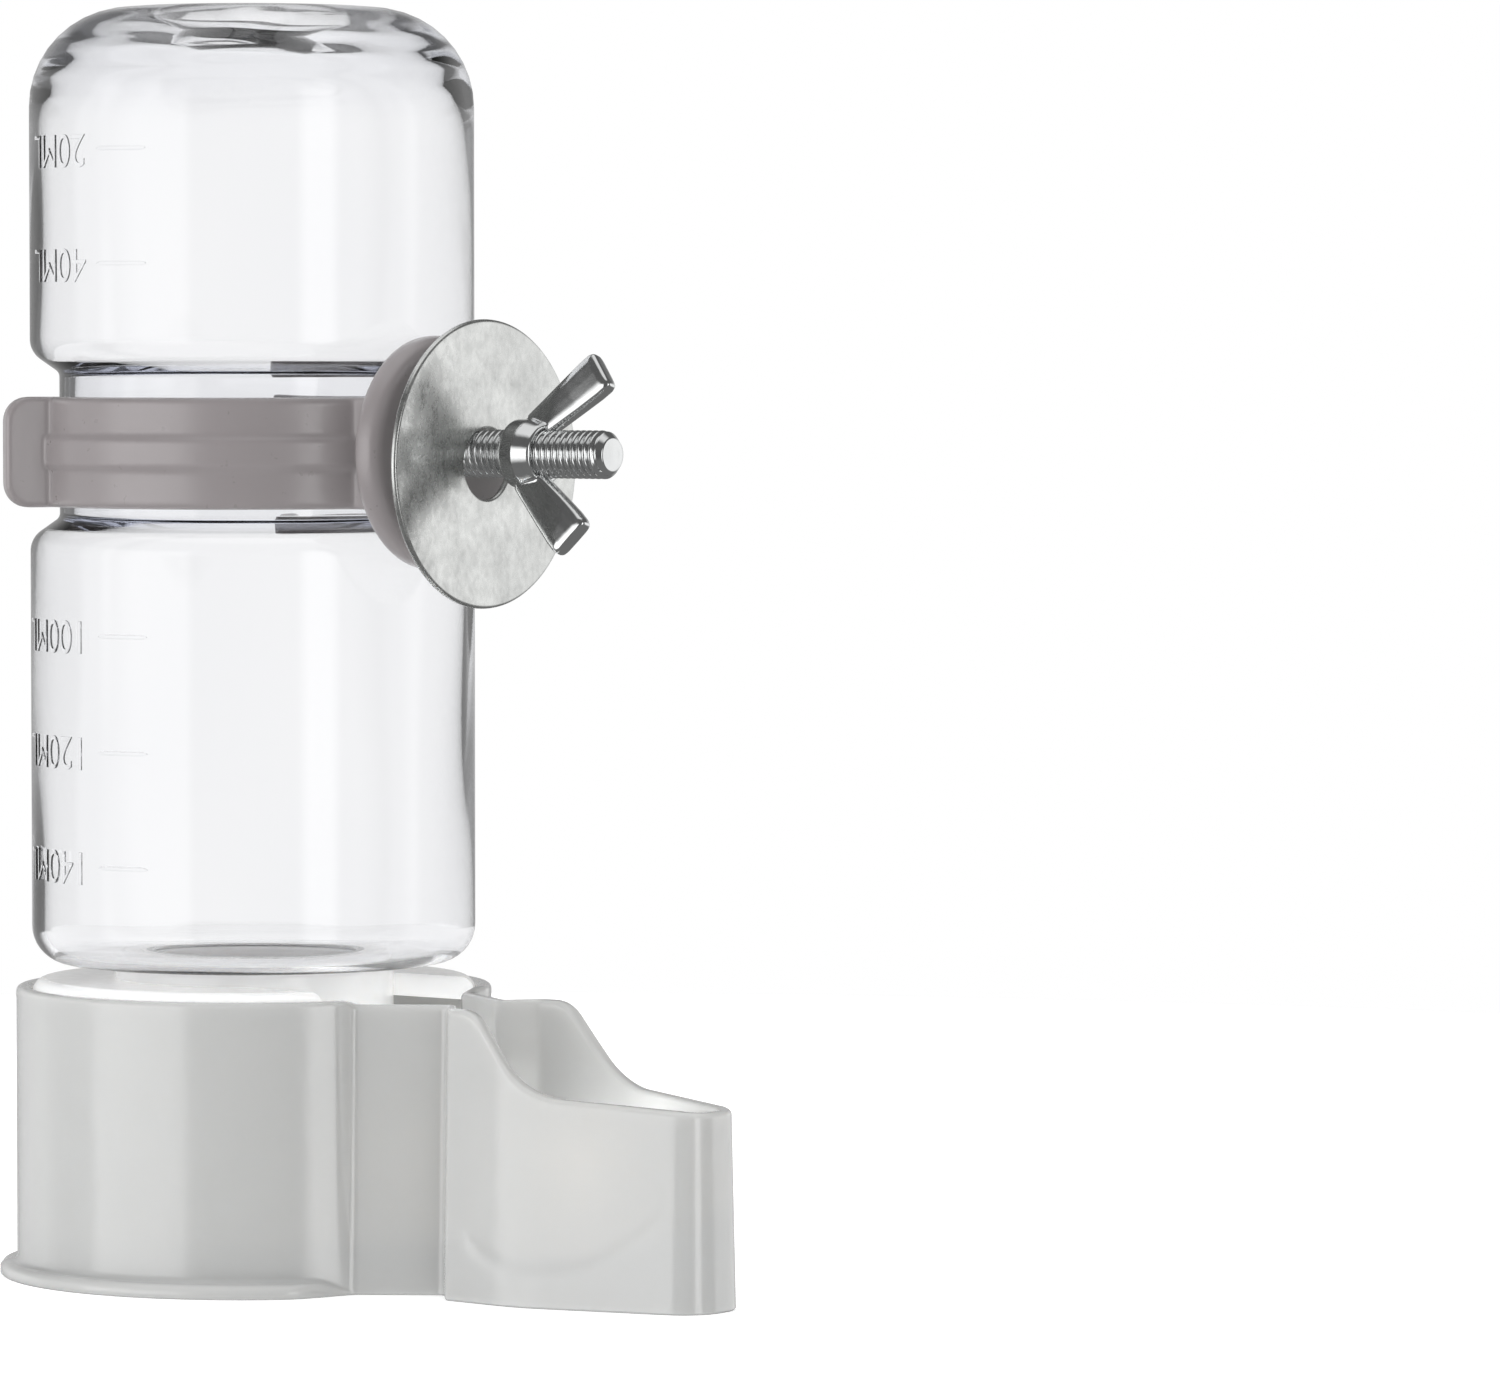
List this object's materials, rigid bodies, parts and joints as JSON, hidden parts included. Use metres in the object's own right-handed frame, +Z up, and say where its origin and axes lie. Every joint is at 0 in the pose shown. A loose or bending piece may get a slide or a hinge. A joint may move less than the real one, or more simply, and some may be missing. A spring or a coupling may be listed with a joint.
{
  "type": "poultry waterer fount",
  "caption": "Inverted clear bottle standing in a round fount base with an open drinking trough; a spring clip with bolt, wide washer and wing nut holds it to cage wire.",
  "frame": {"origin": "on the ground plane, under the axis of the bottle and the drum", "axes": "+Z up along the bottle's axis; +X along the trough, which is also the direction of the clamp bolt as shown"},
  "size_m": [0.0896, 0.054, 0.134],
  "materials": {
    "base_plastic": "smooth moulded, light grey",
    "deck_plastic": "smooth moulded, white",
    "clear_bottle": "clear blow-moulded PET",
    "clip_plastic": "satin moulded, warm grey",
    "bolt_steel": "bright zinc plate",
    "washer_steel": "dull zinc plate, scuffed",
    "nut_steel": "bright zinc plate"
  },
  "bodies": {
    "fount": {"fount_base": "base_plastic", "neck_collar": "deck_plastic"},
    "bottle": {"bottle": "clear_bottle"},
    "clip": {"mounting_clip": "clip_plastic", "clamp_bolt": "bolt_steel"},
    "washer": {"clamp_washer": "washer_steel"},
    "nut": {"wing_nut": "nut_steel"}
  },
  "joints": [
    {"name": "bottle_lift", "type": "slide", "parent": "fount", "child": "bottle", "axis": [0, 0, 1], "range_m": [0, 0.022]},
    {"name": "clip_swivel", "type": "hinge", "parent": "bottle", "child": "clip", "pos_m": [0, 0, 0.0872], "axis": [0, 0, 1], "continuous": true},
    {"name": "washer_slide", "type": "slide", "parent": "clip", "child": "washer", "axis": [1, 0, 0], "range_m": [-0.0043, 0.004]},
    {"name": "wing_nut_spin", "type": "hinge", "parent": "clip", "child": "nut", "pos_m": [0.036, 0, 0.0872], "axis": [1, 0, 0], "continuous": true}
  ]
}
